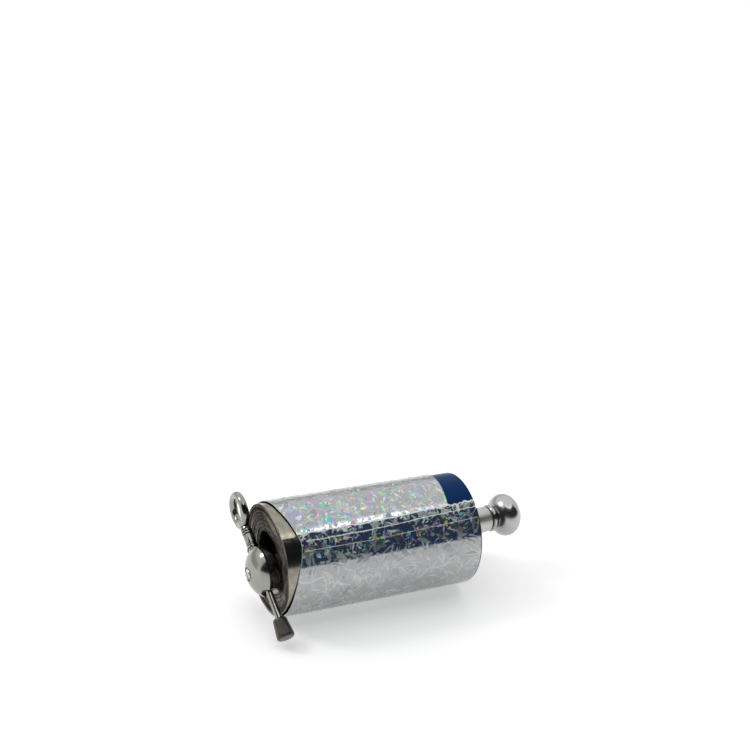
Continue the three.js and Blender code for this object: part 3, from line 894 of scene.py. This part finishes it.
def tape_edge(name, offset, width, slant, start_x, lift, jag):
    """A raised torn edge of the foil tape, running along the roll beside the seam.

    offset and slant are degrees round the roll; width, start_x and lift are mm.
    """
    def rolled(v, u, skin):
        x = start_x + (FOIL_RIGHT - start_x) * u
        middle = seam_angle(x, jag) + deg(offset) + deg(slant) * u
        ragged = 0.5 + abs(noise.noise(Vector((x * 2.3, offset, 1.7)))) * 1.3
        return x, middle + (v - 0.5) * width * ragged / FOIL_R, FOIL_R + lift * (1 - skin) - 0.02 * skin

    def sprung(v, u, skin):
        x, angle, r = rolled(v, u, skin)
        return x, angle, SPRUNG_R + SPRUNG_TAPE_LIFT + 0.03 * (1 - skin)

    columns = [j / TAPE_COLUMNS for j in range(TAPE_COLUMNS + 1)]
    # Coloured near white: the tape's torn backing and a painted highlight along the seam line.
    wound_sheet(name, "roll", ["torn"], None, 2, columns, rolled, sprung, lambda u, skin, v: 0)


def blue_film_sheet():
    def place(v, u):
        return FILM_LEFT + FILM_WIDTH * u, SEAM + deg(2) + v * (TAU - deg(4))

    def rolled(v, u, skin):
        x, angle = place(v, u)
        return x, angle, FILM_R - 0.35 * smooth(0.5, 0.8, v) - 0.1 * skin

    def sprung(v, u, skin):
        x, angle = place(v, u)
        return x, angle, SPRUNG_R + SPRUNG_FILM_LIFT - 0.05 * skin

    wound_sheet(
        "film_wrap", "roll", ["film"], "blue_film_wrap",
        STEPS_ROUND, [0, 0.25, 0.5, 0.75, 1], rolled, sprung, lambda u, skin, v: 0,
    )


# ---- Knob end --------------------------------------------------------------------------

def knob_end():
    neck = fillet(NECK_PROFILE, radius=0.25)
    make_piece("neck", lathe(neck, CORE), "tip", ["satin"], ["knob_neck"])
    collar = fillet(COLLAR_PROFILE, radius=0.16)
    make_piece("collar", lathe(collar, CORE), "tip", ["knob"], ["knob_collar"])
    seat = math.pi - math.asin(KNOB_SEAT_R / KNOB_R)
    ball = arc(KNOB_X, KNOB_HALF, KNOB_R, seat, 0, steps=40)
    outline = [(ball[0][0], 0), (ball[0][0], KNOB_FOOT_R), *ball]
    make_piece("ball", lathe(outline, CORE), "tip", ["knob"], ["knob_ball"])


def inner_fittings():
    plug = fillet([*PLUG_PROFILE, PLUG_PROFILE[0]], radius=0.3)[:-1]
    make_piece("plug", lathe(plug, CORE, closed=True), "tip", ["cast"], ["tip_plug"])
    washer = lathe(WASHER_PROFILE, CORE, closed=True)
    make_piece("washer", washer, "tip", ["satin"], ["core_washer"])
    hexagon = cylinder(CORE, 63.2, 68.2, NUT_FLATS / math.sqrt(3), segments=6)
    nut = combine(hexagon, [cylinder(CORE, 62, 70, BORE_R)])
    make_piece("nut", nut, "tip", ["satin"], ["core_nut"])
    rod = lathe(fillet(CORE_ROD_PROFILE, radius=0.2), CORE, segments=48)
    hole = cylinder(PIN, -4, 4, SHANK_HOLE_R, segments=48)
    slot = box(-6.5, (4, 8, 2 * ROD_HOLE_R))
    make_piece("rod", combine(rod, [hole, slot]), "tip", ["satin"], ["core_rod"])


# ---- Lock ------------------------------------------------------------------------------

def lock():
    centre = DOME_APEX_X + DOME_SPHERE_R
    edge = math.pi - math.asin(DOME_EDGE_R / DOME_SPHERE_R)
    crown = arc(centre, DOME_SPHERE_R, DOME_SPHERE_R, math.pi, edge, steps=28)
    skirt_x = crown[-1][0]
    skirt = [crown[-1], (skirt_x + 0.55, DOME_SKIRT_R), (-0.6, DOME_SKIRT_R), (-0.6, 0)]
    skirt = fillet(skirt, radius=0.3)
    dome = lathe([*crown, *skirt[1:]], CORE, segments=128)
    dome = combine(dome, [
        cylinder(CORE, -9.3, 1, DOME_CAVITY_R),
        cylinder(CORE, -12, -8, SCREW_HOLE_R),
        cylinder(CORE, -12, -10.1, SCREW_SEAT_R),
        cylinder(PIN, -20, 0, SHANK_HOLE_R),
        cylinder(PIN, 0, 20, ROD_HOLE_R),
        lathe(fillet(DOME_FLARE_PROFILE, radius=0.3), PIN, segments=64),
    ])
    make_piece("dome", dome, "lock", ["polished"], ["dome_cap"], sharp=24)
    hub = combine(lathe(fillet(HUB_PROFILE, radius=0.4), CORE), [
        cylinder(CORE, -7.9, 8, HUB_BORE_R),
        cylinder(CORE, -10, -6, SCREW_HOLE_R),
        cylinder(PIN, -10, 0, SHANK_HOLE_R),
        cylinder(PIN, 0, 10, ROD_HOLE_R),
    ])
    make_piece("hub", hub, "lock", ["satin"], ["lock_hub"])
    screw = lathe(fillet(SCREW_PROFILE, radius=0.2), CORE, segments=48)
    screw = combine(screw, [box(-11.0, (1, 7, 0.8))])
    make_piece("screw", screw, "lock", ["satin"], ["dome_screw"])


def pull_pin():
    pin = lathe(fillet(PIN_PROFILE, radius=0.12), PIN, segments=48)
    make_piece("pin", pin, "pull_pin", ["polished"], ["locking_pin"])
    outline = [(-20.2, 0), (-20.2, 2.05)]
    for x, half, depth in FERRULE_GROOVES:
        floor_half = half * 0.7
        outline += [(x - half, FERRULE_R), (x - floor_half, FERRULE_R - depth)]
        outline += [(x + floor_half, FERRULE_R - depth), (x + half, FERRULE_R)]
    outline += [(-10.9, 2.2), (-10.9, FERRULE_BORE_R), (-14.2, FERRULE_BORE_R), (-14.2, 0)]
    ferrule = lathe(fillet(outline, radius=0.04), PIN, segments=48)
    # Faces at the bottom of the grooves get the near-black edge colour: painted shade.
    back = PIN.inverted()
    for face in ferrule.faces:
        spot = back @ (face.calc_center_median() / MM)
        if math.hypot(spot.y, spot.z) < GROOVE_SHADE_R:
            face.material_index = 1
    make_piece("ferrule", ferrule, "pull_pin", ["polished", "painted_shade_edge"], ["ring_ferrule"])
    ring_piece()
    tip = lathe(fillet(RUBBER_PROFILE, radius=0.5, steps=5), PIN, segments=72)
    make_piece("rubber_end", tip, "pull_pin", ["rubber"], ["rubber_tip"])


def ring_piece():
    """Cast eye: an oval-section ring that flows into its neck."""
    bm = bmesh.new()
    centre = Vector((RING_CENTRE, 0, 0))
    side = Vector((0, math.cos(RING_TURN), math.sin(RING_TURN)))
    along = Vector((1, 0, 0))
    normal = along.cross(side)
    steps, sections = 96, 24
    rings = []
    for i in range(steps):
        a = TAU * i / steps
        out = along * math.cos(a) + side * math.sin(a)
        thick = RING_WIRE_R * (1 + 0.12 * smooth(0.2, 1, math.cos(a)))
        ring = []
        for j in range(sections):
            b = TAU * j / sections
            spot = centre + out * (RING_R + thick * math.cos(b)) + normal * thick * math.sin(b)
            ring.append(bm.verts.new(PIN @ spot * MM))
        rings.append(ring)
    for i in range(steps):
        for j in range(sections):
            k, m = (i + 1) % steps, (j + 1) % sections
            bm.faces.new([rings[i][j], rings[k][j], rings[k][m], rings[i][m]])
    bmesh.ops.recalc_face_normals(bm, faces=bm.faces)
    neck = lathe(RING_NECK_PROFILE, PIN, segments=48)
    eye = combine(bm, [neck], "UNION")
    piece = make_piece("ring", eye, "pull_pin", ["polished"], ["pull_ring"])
    remesh = piece.modifiers.new("blend", "REMESH")
    remesh.mode = "VOXEL"
    remesh.voxel_size = RING_VOXEL * MM
    remesh.use_smooth_shade = True
    soften = piece.modifiers.new("soften", "SMOOTH")
    soften.iterations = 6
    soften.factor = 0.6


# ---- Build everything ------------------------------------------------------------------

for turn_number in range(1, TURNS + 1):
    strip_turn(turn_number)
holo_foil_sheet()
blue_film_sheet()
tape_edge("tape_edge_1", offset=0.0, width=0.75, slant=0.0, start_x=4.8, lift=0.10, jag=1.0)
tape_edge("tape_edge_2", offset=8.0, width=0.5, slant=-1.2, start_x=8.0, lift=0.08, jag=0.6)
tape_edge("tape_edge_3", offset=17.2, width=0.25, slant=0.6, start_x=6.5, lift=0.06, jag=0.2)
knob_end()
inner_fittings()
lock()
pull_pin()


# ---- Floor, light and camera -----------------------------------------------------------

FLOOR_SIZE = 40              # metres, so that its edge is out of sight in every view
FLOOR_Z = -0.0003            # metres: the lowest point of the wrapped roll
LENS = 75.85                 # mm, and the camera's place (mm from the roll's left end) and turn
CAMERA_PLACE = Vector((-229.66, -504.79, 341.92))
CAMERA_TURN = (deg(65.179), deg(-4.936), deg(-25.929))


def floor():
    bm = bmesh.new()
    bmesh.ops.create_grid(bm, x_segments=1, y_segments=1, size=FLOOR_SIZE)
    mesh = bpy.data.meshes.new("floor")
    bm.to_mesh(mesh)
    bm.free()
    made = bpy.data.objects.new("floor", mesh)
    bpy.context.scene.collection.objects.link(made)
    material, nodes, shader = new_material("floor_white")
    shader.inputs["Base Color"].default_value = rgb(0.86, 0.86, 0.86)
    shader.inputs["Emission Color"].default_value = rgb(1, 1, 1)
    shader.inputs["Emission Strength"].default_value = 0.38
    shader.inputs["Roughness"].default_value = 0.45
    shader.inputs["Specular IOR Level"].default_value = 0.3
    mesh.materials.append(material)
    made.location.z = FLOOR_Z


def studio():
    """Pale room with a dark wall in front, above a bright horizon, and a thin lamp strip over it.

    The camera itself sees plain white. Zones are chosen by the direction's y, negative in front,
    and z, up.
    """
    world = bpy.data.worlds.new("studio")
    bpy.context.scene.world = world
    world.use_nodes = True
    nodes = Nodes(world.node_tree)
    back = world.node_tree.nodes["Background"]
    way = nodes.add("ShaderNodeTexCoord").outputs["Generated"]
    _, y, z = nodes.add("ShaderNodeSeparateXYZ", {0: way}).outputs
    front = nodes.step(nodes.math("MULTIPLY", y, -1.0), 0.06, 0.16)
    below_top = nodes.math("SUBTRACT", 1.0, nodes.step(z, 0.865, 0.885))
    dark = nodes.math("MULTIPLY", nodes.math("MULTIPLY", front, nodes.step(z, 0.085, 0.115)), below_top)
    low = nodes.math("SUBTRACT", 1.0, nodes.step(z, 0.25, 0.4))
    rear_low = nodes.math("MULTIPLY", nodes.step(y, 0.0, 0.3), low)
    rear_low = nodes.math("MULTIPLY", rear_low, nodes.step(z, 0.0, 0.05))
    lamp_top = nodes.math("SUBTRACT", 1.0, nodes.step(z, 0.895, 0.912))
    lamp = nodes.math("MULTIPLY", nodes.step(z, 0.875, 0.885), lamp_top)
    sky = nodes.mix(rear_low, rgb(1.04, 1.04, 1.04), rgb(0.62, 0.62, 0.62))
    sky = nodes.mix(nodes.math("MULTIPLY", lamp, front), sky, rgb(4.2, 4.2, 4.1))
    room = nodes.mix(dark, sky, rgb(0.013, 0.018, 0.026))
    seen = nodes.add("ShaderNodeLightPath").outputs["Is Camera Ray"]
    nodes.put(back.inputs["Color"], nodes.mix(seen, room, rgb(1.04, 1.04, 1.04)))
    back.inputs["Strength"].default_value = 1.0


def area_light(name, place, aim, size, power):
    light = bpy.data.lights.new(name, "AREA")
    light.shape = "RECTANGLE"
    light.size, light.size_y = size
    light.energy = power
    made = bpy.data.objects.new(name, light)
    bpy.context.scene.collection.objects.link(made)
    made.location = place
    made.rotation_euler = (Vector(aim) - Vector(place)).to_track_quat("-Z", "Y").to_euler()


def camera():
    data = bpy.data.cameras.new("camera")
    data.lens = LENS
    data.sensor_width = 36
    data.clip_start = 0.01
    made = bpy.data.objects.new("camera", data)
    bpy.context.scene.collection.objects.link(made)
    axis = Vector((ROLL_LEFT, ROLL_AXIS.y, ROLL_AXIS.z))
    made.location = (axis + CAMERA_PLACE) * MM
    made.rotation_euler = CAMERA_TURN
    bpy.context.scene.camera = made


floor()
studio()
area_light("rear_left", (-0.7, 0.4, 0.8), (0, 0, 0), (0.2, 0.35), 2.5)
camera()
bpy.context.scene.view_settings.view_transform = "Standard"
